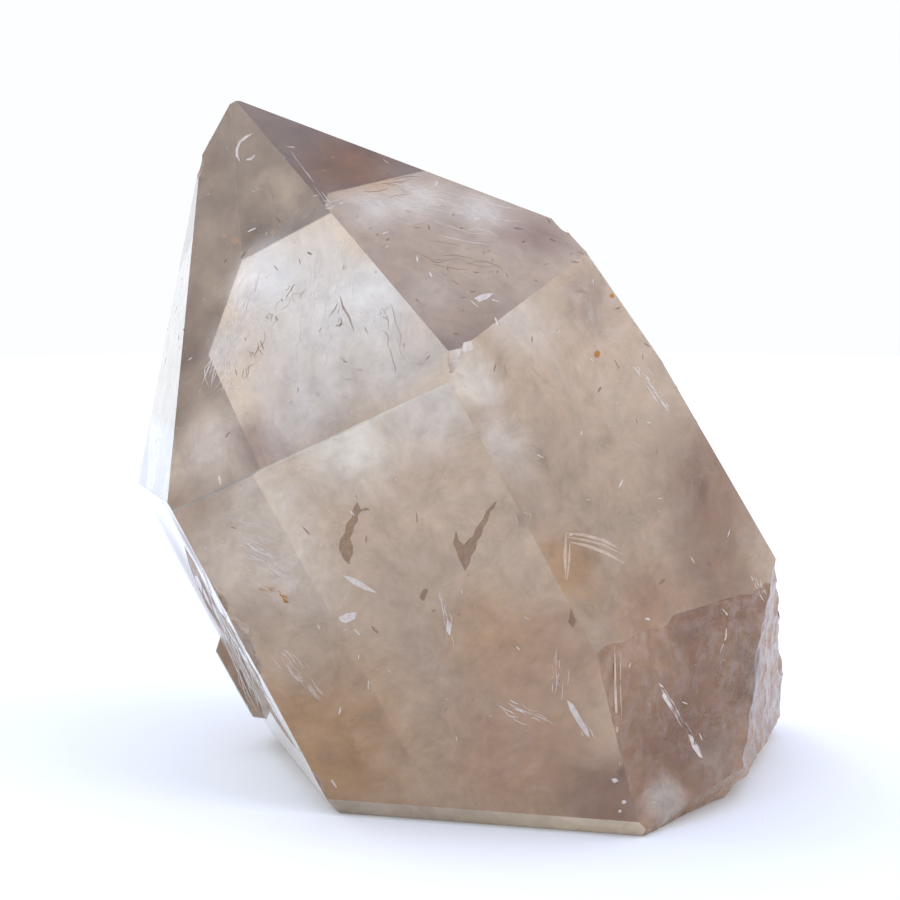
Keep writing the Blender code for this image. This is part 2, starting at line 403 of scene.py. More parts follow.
    def haze(self, tree: bpy.types.NodeTree, place: bpy.types.NodeSocket,
             spots: list[Vector]) -> tuple[bpy.types.NodeSocket, bpy.types.NodeSocket]:
        """Mixes the haze of the faces and the clouds, some of which are painted light.

        Args:
            tree: the node tree.
            place: where a point of the surface is, waved a little.
            spots: the middle of each cloud, in metres.

        Returns:
            The colour of the haze and the painted light, and a vector of how much light passes it, the
            roughness and the wisps.
        """
        colour = add_node(tree, "Attribute", attribute_name="haze_and_highlight_tint").outputs["Color"]
        look = add_node(tree, "Attribute", attribute_name="haze_look").outputs["Vector"]
        shift = add_node(tree, "Attribute", attribute_name="haze_shift").outputs["Vector"]
        reach = add_node(tree, "VectorMath", {0: place, 1: shift}, operation="ADD").outputs[0]
        for cloud, middle in zip(self.clouds, spots):
            centre = middle + cloud.face.shift()
            gap = add_node(tree, "VectorMath", {0: reach, 1: centre}, operation="DISTANCE").outputs["Value"]
            radius = cloud.radius_mm * MM
            share = add_node(tree, "MapRange", {
                "Value": gap, "From Min": self.cloud_core * radius, "From Max": radius,
                "To Min": cloud.share, "To Max": 0.0}, interpolation_type="SMOOTHSTEP").outputs["Result"]
            colour = add_node(tree, "Mix", {
                MIX_SHARE: share, COLOUR_LOW: colour, COLOUR_HIGH: linear(cloud.tone.value)},
                data_type="RGBA").outputs[COLOUR_OUT]
            look = add_node(tree, "Mix", {
                MIX_SHARE: share, VECTOR_LOW: look,
                VECTOR_HIGH: (cloud.clear, cloud.roughness, cloud.wisps)},
                data_type="VECTOR").outputs[VECTOR_OUT]
        return colour, look

    def skin(self, tree: bpy.types.NodeTree, place: bpy.types.NodeSocket,
             dropped: bpy.types.NodeSocket) -> bpy.types.NodeSocket:
        """Adds the fine relief of the skin, drawn out along the face's flow.

        Args:
            tree: the node tree.
            place: where a point of the surface is.
            dropped: the part of that place that the pattern leaves out.

        Returns:
            The direction that the surface seems to face.
        """
        drawn = add_node(tree, "VectorMath", {0: place, 1: dropped}, operation="SUBTRACT").outputs[0]
        grain = add_node(tree, "TexNoise", {"Vector": drawn, **self.grain.numbers}).outputs["Fac"]
        relief = add_node(tree, "Attribute", attribute_name="haze_relief").outputs["Fac"]
        return add_node(tree, "Bump", {
            "Height": grain, "Strength": relief, "Distance": self.grain_depth_mm * MM}).outputs[0]

    def milk(self, tree: bpy.types.NodeTree, colour: bpy.types.NodeSocket, waved: bpy.types.NodeSocket,
             dropped: bpy.types.NodeSocket, wisps: bpy.types.NodeSocket) -> bpy.types.NodeSocket:
        """Breaks the haze's colour up into flecks, dark threads and white wisps.

        Args:
            tree: the node tree.
            colour: the haze's colour.
            waved: where a point of the surface is, waved a little.
            dropped: the part of that place that the wisps leave out.
            wisps: how strong the wisps are.

        Returns:
            The new colour.
        """
        flecks = add_node(tree, "TexNoise", {"Vector": waved, **self.flecks.numbers}).outputs["Fac"]
        shade = add_node(tree, "MapRange", {"Value": flecks, **self.fleck_shade.ends}).outputs["Result"]
        colour = add_node(tree, "VectorMath", {0: colour, "Scale": shade}, operation="SCALE").outputs[0]
        curled = add_node(tree, "VectorMath", {0: waved, 1: dropped}, operation="SUBTRACT").outputs[0]
        threads = add_node(tree, "TexNoise", {"Vector": curled, **self.threads.numbers}).outputs["Fac"]
        dark = add_node(tree, "MapRange", {"Value": threads, **self.thread_shade.ends}).outputs["Result"]
        colour = add_node(tree, "VectorMath", {0: colour, "Scale": dark}, operation="SCALE").outputs[0]
        wisp = add_node(tree, "MapRange", {"Value": threads, **self.wisp_share.ends}).outputs["Result"]
        wisp = add_node(tree, "Math", {0: wisp, 1: wisps}, operation="MULTIPLY").outputs[0]
        return add_node(tree, "Mix", {
            MIX_SHARE: wisp, COLOUR_LOW: colour, COLOUR_HIGH: linear(self.wisp_hex)},
            data_type="RGBA").outputs[COLOUR_OUT]

    def material(self, spots: list[Vector]) -> bpy.types.Material:
        """Builds the nodes.

        Args:
            spots: the middle of each cloud, in metres.

        Returns:
            The material.
        """
        material, tree, output = new_material(self.name)
        place = add_node(tree, "TexCoord").outputs["Object"]
        mottle = add_node(tree, "TexNoise", {"Vector": place, **self.mottle.numbers})
        centred = add_node(tree, "VectorMath", {0: mottle.outputs["Color"], 1: NOISE_MEAN},
                           operation="SUBTRACT").outputs[0]
        waved = add_node(tree, "VectorMath", {0: centred, 1: (self.sway_mm * MM,) * 3, 2: place},
                         operation="MULTIPLY_ADD").outputs[0]
        colour, look = self.haze(tree, waved, spots)
        clear, rough, wisps = add_node(tree, "SeparateXYZ", {0: look}).outputs[:3]
        flow = add_node(tree, "Attribute", attribute_name="haze_flow").outputs["Vector"]
        along = add_node(tree, "VectorMath", {0: place, 1: flow}, operation="DOT_PRODUCT").outputs["Value"]
        dropped = add_node(tree, "VectorMath", {0: flow, "Scale": along}, operation="SCALE").outputs[0]
        colour = self.milk(tree, colour, waved, dropped, wisps)
        change = add_node(tree, "MapRange", {
            "Value": mottle.outputs["Fac"], **self.clear_change.ends}).outputs["Result"]
        clear = add_node(tree, "Math", {0: clear, 1: change}, operation="ADD", use_clamp=True).outputs[0]
        shader = add_node(tree, "BsdfPrincipled", {
            "Base Color": colour, "Roughness": rough, "IOR": QUARTZ_IOR,
            "Transmission Weight": self.plain_clear, "Normal": self.skin(tree, place, dropped)})
        tree.links.new(clear, shader.inputs["Transmission Weight"])
        smoke = add_node(tree, "VolumeAbsorption", {
            "Color": linear(self.smoke_hex), "Density": self.smoke_per_metre})
        tree.links.new(shader.outputs[0], output.inputs["Surface"])
        tree.links.new(smoke.outputs[0], output.inputs["Volume"])
        return material


@dataclass(frozen=True)
class InclusionFinish:
    """Something small at the skin or inside: a gap that shows pale or dark, or a speck of rust or clay.

    It never fills its outline evenly, so it is dull, a little see-through and uneven from grain to grain.
    Real grains of rust and clay are too fine to show, so the grain is drawn at half a millimetre or more.
    """

    name: str
    dark_hex: str
    pale_hex: str
    cover: float
    roughness: float = 0.5
    gloss: float = 0.1
    grain: Pattern = Pattern(0.5, 3.0, 0.6)
    grain_share: Span = Span(0.35, 0.65)

    def material(self) -> bpy.types.Material:
        """Builds the nodes.

        Returns:
            The material.
        """
        material, tree, output = new_material(self.name)
        place = add_node(tree, "TexCoord").outputs["Object"]
        grain = add_node(tree, "TexNoise", {"Vector": place, **self.grain.numbers}).outputs["Fac"]
        share = add_node(tree, "MapRange", {"Value": grain, **self.grain_share.ends}).outputs["Result"]
        colour = add_node(tree, "Mix", {
            MIX_SHARE: share, COLOUR_LOW: linear(self.dark_hex), COLOUR_HIGH: linear(self.pale_hex)},
            data_type="RGBA").outputs[COLOUR_OUT]
        shader = add_node(tree, "BsdfPrincipled", {
            "Base Color": colour, "Roughness": self.roughness, "Alpha": self.cover,
            "Specular IOR Level": self.gloss})
        tree.links.new(shader.outputs[0], output.inputs["Surface"])
        return material


@dataclass(frozen=True)
class MattPaper:
    """Photographic card, pressed from white pulp: it has no gloss, and daylight gives it a cold tone."""

    name: str = "white_card"
    tone_hex: str = "f2f5f2"
    roughness: float = 0.9

    def material(self) -> bpy.types.Material:
        """Builds the nodes.

        Returns:
            The material.
        """
        material, tree, output = new_material(self.name)
        shader = add_node(tree, "BsdfPrincipled", {
            "Base Color": linear(self.tone_hex), "Roughness": self.roughness})
        tree.links.new(shader.outputs[0], output.inputs["Surface"])
        return material


@dataclass
class PhotoView:
    """Where the photograph was taken from, as its perspective of the crystal's known angles gives it."""

    place_mm: Vector = field(default_factory=lambda: Vector((-1.791, -277.234, 76.7)))
    tilt: float = math.radians(82.0)
    lens: float = 96.0
    sensor: float = 36.0
    image: int = 900
    nearest_mm: float = 10.0

    def ray(self, column: float, row: float) -> Vector:
        """Gives the line of sight through one pixel of the photograph.

        Args:
            column: the pixel's distance from the left edge.
            row: its distance from the top edge.

        Returns:
            The direction, of length 1.
        """
        focal = self.lens / self.sensor * self.image
        half = self.image / 2
        seen = Vector((column - half, half - row, -focal))
        return (Matrix.Rotation(self.tilt, 3, "X") @ seen).normalized()

    def add_camera(self) -> bpy.types.Object:
        """Adds the camera.

        Returns:
            The camera object.
        """
        data = bpy.data.cameras.new("photo_view")
        data.lens = self.lens
        data.sensor_width = self.sensor
        data.clip_start = self.nearest_mm * MM
        camera = bpy.data.objects.new("photo_view", data)
        camera.location = self.place_mm * MM
        camera.rotation_euler = (self.tilt, 0, 0)
        bpy.context.scene.collection.objects.link(camera)
        bpy.context.scene.camera = camera
        return camera


@dataclass
class CrystalBody:
    """The one grown crystal: the CAD solid with its broken places worked finer and its edges eased.

    An edge that runs into a break has no room for that, and stays sharp.
    """

    flat_area_mm2: float = 6.0
    flat_angle: float = math.radians(0.6)
    edge_ease_mm: float = 0.12
    edge_steps: int = 2
    least_room_mm: float = 0.3
    sharp_angle: float = math.radians(8.0)
    refinements: int = 2
    lump_mm: float = 1.6
    lump_depth_mm: float = 0.16
    grain_mm: float = 0.6
    grain_depth_mm: float = 0.03
    face_match: float = 0.998
    finish: MilkyQuartz = MilkyQuartz()
    surface: BVHTree | None = None

    def regions(self, mesh: bmesh.types.BMesh) -> list[list[bmesh.types.BMFace]]:
        """Groups the faces that lie in one plane.

        Args:
            mesh: the welded crystal.

        Returns:
            One list of faces for each flat region.
        """
        limit = math.cos(self.flat_angle)
        found, seen = [], set()
        for start in mesh.faces:
            if start in seen:
                continue
            seen.add(start)
            region, waiting = [], [start]
            while waiting:
                face = waiting.pop()
                region.append(face)
                for edge in face.edges:
                    for other in edge.link_faces:
                        if other not in seen and other.normal.dot(start.normal) > limit:
                            seen.add(other)
                            waiting.append(other)
            found.append(region)
        return found

    def shows(self, view: PhotoView, column: float, row: float) -> bool:
        """Says whether a pixel of the photo shows the crystal."""
        return self.surface.ray_cast(view.place_mm * MM, view.ray(column, row))[0] is not None

    def behind(self, view: PhotoView, column: float, row: float, depth_mm: float = 0.0,
               far: bool = False) -> Vector:
        """Finds the point that shows at a pixel of the photo, on the skin or under it, as stone bends light.

        Args:
            view: where the photograph was taken from.
            column: the pixel's distance from the left edge.
            row: its distance from the top edge.
            depth_mm: how far the point is under the surface.
            far: whether to go through the stone to its other side.

        Returns:
            The point, in metres.
        """
        sight = view.ray(column, row)
        place, normal, _, _ = self.surface.ray_cast(view.place_mm * MM, sight)
        if place is None:
            raise ValueError(f"pixel {column}, {row} shows no crystal")
        facing = -sight.dot(normal)
        bent = math.sqrt(1 - (1 - facing ** 2) / QUARTZ_IOR ** 2)
        inward = sight / QUARTZ_IOR + normal * (facing / QUARTZ_IOR - bent)
        if far:
            return self.surface.ray_cast(place + inward * MM, inward)[0]
        return place + inward * (depth_mm * MM / bent)

    def classify(self, face: bmesh.types.BMFace, region: int, eased: set[bmesh.types.BMFace]) -> Face:
        """Tells which face of the crystal a face of the mesh belongs to.

        Args:
            face: the face of the mesh.
            region: the number of its flat region, or 0 where it is broken.
            eased: the faces of the eased edges.

        Returns:
            The crystal's face.
        """
        if face in eased:
            return Face.EDGE
        if not region:
            return Face.BROKEN
        grown = [kind for kind in Face if kind.grown]
        nearest = max(grown, key=lambda kind: face.normal.dot(kind.outward()))
        return nearest if face.normal.dot(nearest.outward()) > self.face_match else Face.FOOT

    def join_flats(self, mesh: bmesh.types.BMesh) -> bmesh.types.BMLayerItem:
        """Numbers the flat regions, and takes out the edges inside them.

        Args:
            mesh: the welded crystal.

        Returns:
            The layer that holds each face's region, or 0 where it is broken.
        """
        mark = mesh.faces.layers.int.new("region")
        for number, region in enumerate(self.regions(mesh), start=1):
            flat = sum(face.calc_area() for face in region) > self.flat_area_mm2 * MM * MM
            for face in region:
                face[mark] = number if flat else 0
        seams = [edge for edge in mesh.edges
                 if all(face[mark] for face in edge.link_faces)
                 and edge.link_faces[0][mark] == edge.link_faces[1][mark]]
        bmesh.ops.dissolve_edges(mesh, edges=seams, use_verts=False, use_face_split=False)
        return mark

    def roughen(self, mesh: bmesh.types.BMesh, mark: bmesh.types.BMLayerItem) -> None:
        """Works the broken places finer, with lumps and grain.

        Args:
            mesh: the crystal.
            mark: the layer of the regions.
        """
        for _ in range(self.refinements):
            rough = [edge for edge in mesh.edges if any(not face[mark] for face in edge.link_faces)]
            bmesh.ops.subdivide_edges(mesh, edges=rough, cuts=1, use_grid_fill=True)
        mesh.normal_update()
        for vert in mesh.verts:
            if vert.link_faces and not any(face[mark] for face in vert.link_faces):
                lump = noise.noise(vert.co / (self.lump_mm * MM)) * self.lump_depth_mm
                grain = noise.noise(vert.co / (self.grain_mm * MM)) * self.grain_depth_mm
                vert.co += vert.normal * (lump + grain) * MM
                vert.co.z = max(vert.co.z, 0.0)

    def ease(self, mesh: bmesh.types.BMesh, mark: bmesh.types.BMLayerItem) -> set[bmesh.types.BMFace]:
        """Eases the edges between flat faces, where there is room for it.

        Args:
            mesh: the crystal.
            mark: the layer of the regions.

        Returns:
            The new faces.
        """
        corners = [edge for edge in mesh.edges
                   if edge.calc_face_angle(0.0) > self.sharp_angle
                   and all(face[mark] for face in edge.link_faces)
                   and all(near.calc_length() > self.least_room_mm * MM
                           for vert in edge.verts for near in vert.link_edges)]
        eased = bmesh.ops.bevel(
            mesh, geom=corners, offset=self.edge_ease_mm * MM, offset_type="OFFSET",
            segments=self.edge_steps, profile=0.5, affect="EDGES", clamp_overlap=True)["faces"]
        mesh.normal_update()
        return set(eased)

    def dress(self, data: bpy.types.Mesh, kinds: list[Face], spots: list[Vector]) -> None:
        """Gives the mesh its material and what the material reads for each face.

        Args:
            data: the mesh.
            kinds: the crystal's face for each face of the mesh.
            spots: the middle of each cloud, in metres.
        """
        looks = {look.face: look for look in self.finish.faces}
        tints = {kind: linear(look.tone.value) for kind, look in looks.items()}
        skins = {kind: (look.clear, look.roughness, look.wisps) for kind, look in looks.items()}
        flows = {kind: kind.flow(look.stretch) for kind, look in looks.items()}
        values = {
            "haze_and_highlight_tint": ("FLOAT_COLOR", "color", tints),
            "haze_look": ("FLOAT_VECTOR", "vector", skins),
            "haze_relief": ("FLOAT", "value", {kind: (look.relief,) for kind, look in looks.items()}),
            "haze_flow": ("FLOAT_VECTOR", "vector", flows),
            "haze_shift": ("FLOAT_VECTOR", "vector", {kind: kind.shift() for kind in looks}),
        }
        for name, (type_name, field_name, table) in values.items():
            flat = [number for kind in kinds for number in table[kind]]
            data.attributes.new(name, type_name, "FACE").data.foreach_set(field_name, flat)
        data.materials.append(self.finish.material(spots))

    def build(self, view: PhotoView) -> bpy.types.Object:
        """Builds and dresses the crystal.

        Args:
            view: where the photograph was taken from.

        Returns:
            The crystal object.
        """
        mesh = bmesh.new()
        mesh.from_mesh(frame["nodes"][CAD_NODE].data)
        bmesh.ops.remove_doubles(mesh, verts=mesh.verts[:], dist=WELD_MM * MM)
        mark = self.join_flats(mesh)
        self.roughen(mesh, mark)
        eased = self.ease(mesh, mark)
        kinds = [self.classify(face, face[mark], eased) for face in mesh.faces]
        data = bpy.data.meshes.new("crystal")
        mesh.to_mesh(data)
        self.surface = BVHTree.FromBMesh(mesh)
        LOG.info("crystal: %d faces, open edges %d, volume %.2f cm3", len(mesh.faces),
                 sum(not edge.is_manifold for edge in mesh.edges), mesh.calc_volume() * PER_CM3)
        mesh.free()
        spots = [self.behind(view, cloud.column, cloud.row, far=cloud.far) for cloud in self.finish.clouds]
        self.dress(data, kinds, spots)
        crystal = bpy.data.objects.new("crystal", data)
        bpy.context.scene.collection.objects.link(crystal)
        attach(crystal, BODY)
        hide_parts(CAD_NODE)
        return crystal


@dataclass(frozen=True)
class Outline:
    """A mark with a shape of its own: its name and its corners in the photo."""

    name: str
    corners: tuple[Pixel, ...]
    depth_mm: float = SKIN_MM

    def draw(self, plates: "Inclusions") -> None:
        """Adds the mark to a set of plates."""
        plates.cut(self.corners, self.depth_mm)


@dataclass(frozen=True)
class Line:
    """A thin mark, tapered to its ends: its name, its width in pixels and its points in the photo."""

    name: str
    width: float
    points: tuple[Pixel, ...]
    taper: float = 0.25

    def draw(self, plates: "Inclusions") -> None:
        """Adds the mark to a set of plates.

        Args:
            plates: the set.
        """
        path = [Vector(point) for point in self.points]
        last = len(path) - 1
        left, right = [], []
        for at, spot in enumerate(path):
            way = (path[min(at + 1, last)] - path[max(at - 1, 0)]).normalized()
            half = self.width / 2 * (self.taper if at in (0, last) else 1.0)
            offset = Vector((-way.y, way.x)) * half
            left.append(spot + offset)
            right.append(spot - offset)
        plates.cut(tuple((spot.x, spot.y) for spot in left + right[::-1]))


@dataclass(frozen=True)
class Blot:
    """An irregular round mark: its name, its middle in the photo and its radius in pixels.

    It can be flat, which gives its height over its width, and turned, in degrees.
    """

    name: str
    column: float
    row: float
    radius: float
    flat: float = 1.0
    turn: float = 0.0
    depth_mm: float = SKIN_MM
    corners: int = 9
    reach: tuple[float, float] = (0.75, 1.2)
    seed_step: int = 31

    def draw(self, plates: "Inclusions") -> None:
        """Adds the mark to a set of plates.

        Args:
            plates: the set.
        """
        dice = random.Random(round(self.column * self.seed_step + self.row))
        turned = Matrix.Rotation(math.radians(self.turn), 2)
        loop = []
        for at in range(self.corners):
            angle = math.tau * at / self.corners
            reach = self.radius * dice.uniform(*self.reach)
            spot = turned @ Vector((math.cos(angle) * reach, math.sin(angle) * reach * self.flat))
            loop.append((self.column + spot.x, self.row + spot.y))
        plates.cut(tuple(loop), self.depth_mm)


@dataclass(frozen=True)
class Wisp:
    """A bundle of fine strands along a line in the photo: its name and the line's two ends.

    All of its measures are in pixels or shares of the line: how many strands there are, how wide they are,
    how far they stray, how late they start, how long they are, how they bend and wobble, and how far they
    stay from the stone's rim.
    """

    name: str
    start: Pixel
    end: Pixel
    count: int
    width: float
    stray: float
    latest_start: float = 0.8
    length: tuple[float, float] = (0.12, 0.45)
    bend: float = 0.5
    wobble: float = 0.25
    steps: int = 4
    fineness: tuple[float, float] = (0.4, 1.1)
    rim: int = 3
    seed_step: int = 7

    def draw(self, plates: "Inclusions") -> None:
        """Adds the strands that lie on the stone to a set of plates.

        Args:
            plates: the set.
        """
        dice = random.Random(round(self.start[0] * self.seed_step + self.end[1]))
        first, last = Vector(self.start), Vector(self.end)
        way = (last - first).normalized()
        aside = Vector((-way.y, way.x))
        for _ in range(self.count):
            begin = dice.uniform(0.0, self.latest_start)
            finish = min(1.0, begin + dice.uniform(*self.length))
            off = dice.gauss(0, self.stray)
            bend = dice.gauss(0, self.stray * self.bend)
            points = []
            for step in range(self.steps + 1):
                part = step / self.steps
                spot = first.lerp(last, begin + (finish - begin) * part)
                spot += aside * (off + bend * math.sin(math.pi * part) + dice.gauss(0, self.wobble))
                points.append((spot.x, spot.y))
            if all(plates.crystal.shows(plates.view, column + gap, row)
                   for column, row in points for gap in (-self.rim, self.rim)):
                Line(self.name, self.width * dice.uniform(*self.fineness), tuple(points)).draw(plates)


Mark = Outline | Line | Blot | Wisp


@dataclass
class Inclusions:
    """Thin closed plates of one kind, at the skin or inside, drawn at their places in the photo.

    Slivers are scattered over the whole skin, but not next to the table, and dust all through the stone.
    """

    crystal: CrystalBody
    view: PhotoView
    name: str = ""
    finish: InclusionFinish | None = None
    marks: tuple[Mark, ...] = ()
    thickness_mm: float = 0.06
    slivers: int = 0
    sliver_seed: int = 0
    longest_sliver_mm: float = 1.3
    sliver_length: tuple[float, float] = (0.15, 1.0)
    sliver_width: tuple[float, float] = (0.08, 0.3)
    sliver_reach: tuple[float, float] = (0.7, 1.15)
    sliver_corners: int = 8
    bare_foot_mm: float = 1.5
    dust: int = 0
    dust_seed: int = 0
    widest_dust_mm: float = 0.6
    least_dust_mm: float = 0.05
    dust_height: tuple[float, float] = (0.3, 1.0)
    dust_corners: int = 6
    dust_cover_mm: float = 0.6
    mesh: bmesh.types.BMesh = field(default_factory=bmesh.new)

    def plate(self, loop: list[Vector], inward: Vector) -> None:
        """Adds a closed plate.

        Args:
            loop: the corners of its outer face.
            inward: the direction of its thickness.
        """
        step = inward.normalized() * self.thickness_mm * MM
        outer = [self.mesh.verts.new(point) for point in loop]
        inner = [self.mesh.verts.new(point + step) for point in loop]
        self.mesh.faces.new(outer)
        self.mesh.faces.new(inner[::-1])
        for at in range(len(loop)):
            after = (at + 1) % len(loop)
            self.mesh.faces.new((outer[after], outer[at], inner[at], inner[after]))

    def cut(self, pixels: tuple[Pixel, ...], depth_mm: float = SKIN_MM) -> None:
        """Adds a plate with an outline from the photo.

        Args:
            pixels: the outline's corners.
            depth_mm: how deep it lies.
        """
        loop = [self.crystal.behind(self.view, column, row, depth_mm) for column, row in pixels]
        self.plate(loop, loop[0] - self.view.place_mm * MM)

    def scatter_slivers(self) -> None:
        """Scatters fine slivers over the skin of the stone, most of them short."""
        dice = random.Random(self.sliver_seed)
        low, high = (Vector(corner) for corner in CAD_BOX)
        for _ in range(self.slivers):
            place = Vector(dice.uniform(a, b) for a, b in zip(low, high))
            near, normal, _, _ = self.crystal.surface.find_nearest(place)
            along = normal.cross(Vector(dice.gauss(0, 1) for _ in range(3))).normalized()
            over = normal.cross(along)
            long = self.longest_sliver_mm / 2 * dice.uniform(*self.sliver_length) ** 2
            wide = long * dice.uniform(*self.sliver_width)
            loop = []
            for at in range(self.sliver_corners):
                angle = math.tau * at / self.sliver_corners
                corner = along * math.cos(angle) * long + over * math.sin(angle) * wide
                loop.append(near + corner * dice.uniform(*self.sliver_reach) * MM - normal * SKIN_MM * MM)
            if near.z > self.bare_foot_mm * MM:
                self.plate(loop, -normal)

    def scatter_dust(self) -> None:
        """Scatters tiny plates all through the stone, most of them close to the least size."""
        dice = random.Random(self.dust_seed)
        low, high = (Vector(corner) for corner in CAD_BOX)
        done = 0
        while done < self.dust:
            place = Vector(dice.uniform(a, b) for a, b in zip(low, high))
            near, normal, _, gap = self.crystal.surface.find_nearest(place)
            if (place - near).dot(normal) > 0 or gap < self.dust_cover_mm * MM:
                continue
            radius = self.widest_dust_mm / 2 * dice.random() ** 3 + self.least_dust_mm
            facing = Vector(dice.gauss(0, 1) for _ in range(3)).normalized()
            across = facing.orthogonal().normalized()
            up = facing.cross(across)
            loop = []
            for at in range(self.dust_corners):
                angle = math.tau * at / self.dust_corners
                corner = across * math.cos(angle) + up * math.sin(angle) * dice.uniform(*self.dust_height)
                loop.append(place + corner * radius * MM)
            self.plate(loop, -facing)
            done += 1

    def build(self) -> bpy.types.Object:
        """Draws the marks and makes the object.

        Returns:
            The object.
        """
        for mark in self.marks:
            mark.draw(self)
            LOG.debug("%s: %s", self.name, mark.name)
        self.scatter_slivers()
        self.scatter_dust()
        bmesh.ops.recalc_face_normals(self.mesh, faces=self.mesh.faces[:])
        data = bpy.data.meshes.new(self.name)
        self.mesh.to_mesh(data)
        LOG.info("%s: %d marks, %d faces", self.name, len(self.marks), len(self.mesh.faces))
        self.mesh.free()
        data.materials.append(self.finish.material())
        piece = bpy.data.objects.new(self.name, data)
        bpy.context.scene.collection.objects.link(piece)
        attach(piece, BODY)
        return piece


@dataclass
class SmokyGaps(Inclusions):
    """The dark slits and dashes."""

    name: str = "smoky_gaps"
    finish: InclusionFinish = InclusionFinish("smoky_gap", "86684f", "a2846a", 0.45)
    slivers: int = 300
    sliver_seed: int = 21
    dust: int = 120
    dust_seed: int = 11
    marks: tuple[Mark, ...] = (
        Outline("curved_slit", (
            (357, 502), (359, 505), (361, 511), (358, 516), (358, 521), (354, 526), (353, 532), (350, 538),
            (353, 546), (353, 553), (350, 560), (350, 565), (345, 561), (342, 556), (339, 549), (340, 540),
            (345, 532), (346, 524), (352, 517), (353, 509))),
        Outline("forked_slit", (
            (497, 500), (494, 508), (490, 512), (488, 521), (483, 528), (482, 535), (477, 541), (476, 549),
            (471, 556), (470, 563), (465, 571), (461, 563), (458, 557), (456, 549), (453, 544), (456, 530),
            (459, 541), (464, 545), (468, 540), (473, 536), (476, 528), (483, 519), (487, 510))),
        Outline("short_slit", ((424, 588), (428, 590), (424, 601), (419, 598))),
        Outline("lozenge", ((571, 608), (576, 622), (573, 628), (568, 622))),
        Line("fork_stem", 2.2, ((340, 296), (343, 307), (349, 317), (354, 331))),
        Line("fork_branch", 1.4, ((338, 302), (335, 309), (329, 317))),
        Wisp("beside_the_fork", (342, 304), (338, 330), 5, 0.8, 2.0),
        # These strands lie under the painted bright patch on the point.
        Wisp("under_the_bright_patch", (268, 302), (276, 322), 6, 0.9, 3.0),
        Wisp("left_tuft", (248, 335), (258, 358), 5, 0.9, 3.0),
        Wisp("left_fan", (262, 330), (246, 380), 6, 0.7, 6.0),
        Wisp("right_fan", (392, 300), (412, 372), 6, 0.7, 9.0),
        Wisp("middle_fan", (300, 280), (270, 330), 8, 0.8, 7.0),
        Wisp("point_seam", (345, 190), (420, 180), 7, 1.1, 4.0),
        Wisp("point_right_curls", (400, 250), (505, 268), 7, 0.6, 8.0),
        Wisp("left_edge_cracks", (198, 570), (262, 712), 8, 0.8, 4.0),
        Blot("dash_1", 300, 262, 3.5, 0.16, 80),
        Blot("dash_2", 282, 300, 2.8, 0.16, 60),
        Blot("dash_3", 262, 345, 4.9, 0.16, 70),
        Blot("dash_4", 366, 330, 4.2, 0.16, 65),
        Blot("dash_5", 385, 318, 3.5, 0.16, 30),
        Blot("dash_6", 320, 330, 2.8, 0.16, 110),
        Blot("dash_7", 236, 372, 3.5, 0.16, 75),
        Blot("dash_8", 417, 300, 2.8, 0.16, 45),
        Blot("dash_9", 298, 390, 3.5, 0.16, 100),
        Blot("dash_10", 276, 268, 3.5, 0.16, 55),
        Blot("dash_11", 345, 362, 2.8, 0.16, 20),
        Blot("dash_12", 404, 345, 2.8, 0.16, 75),
    )


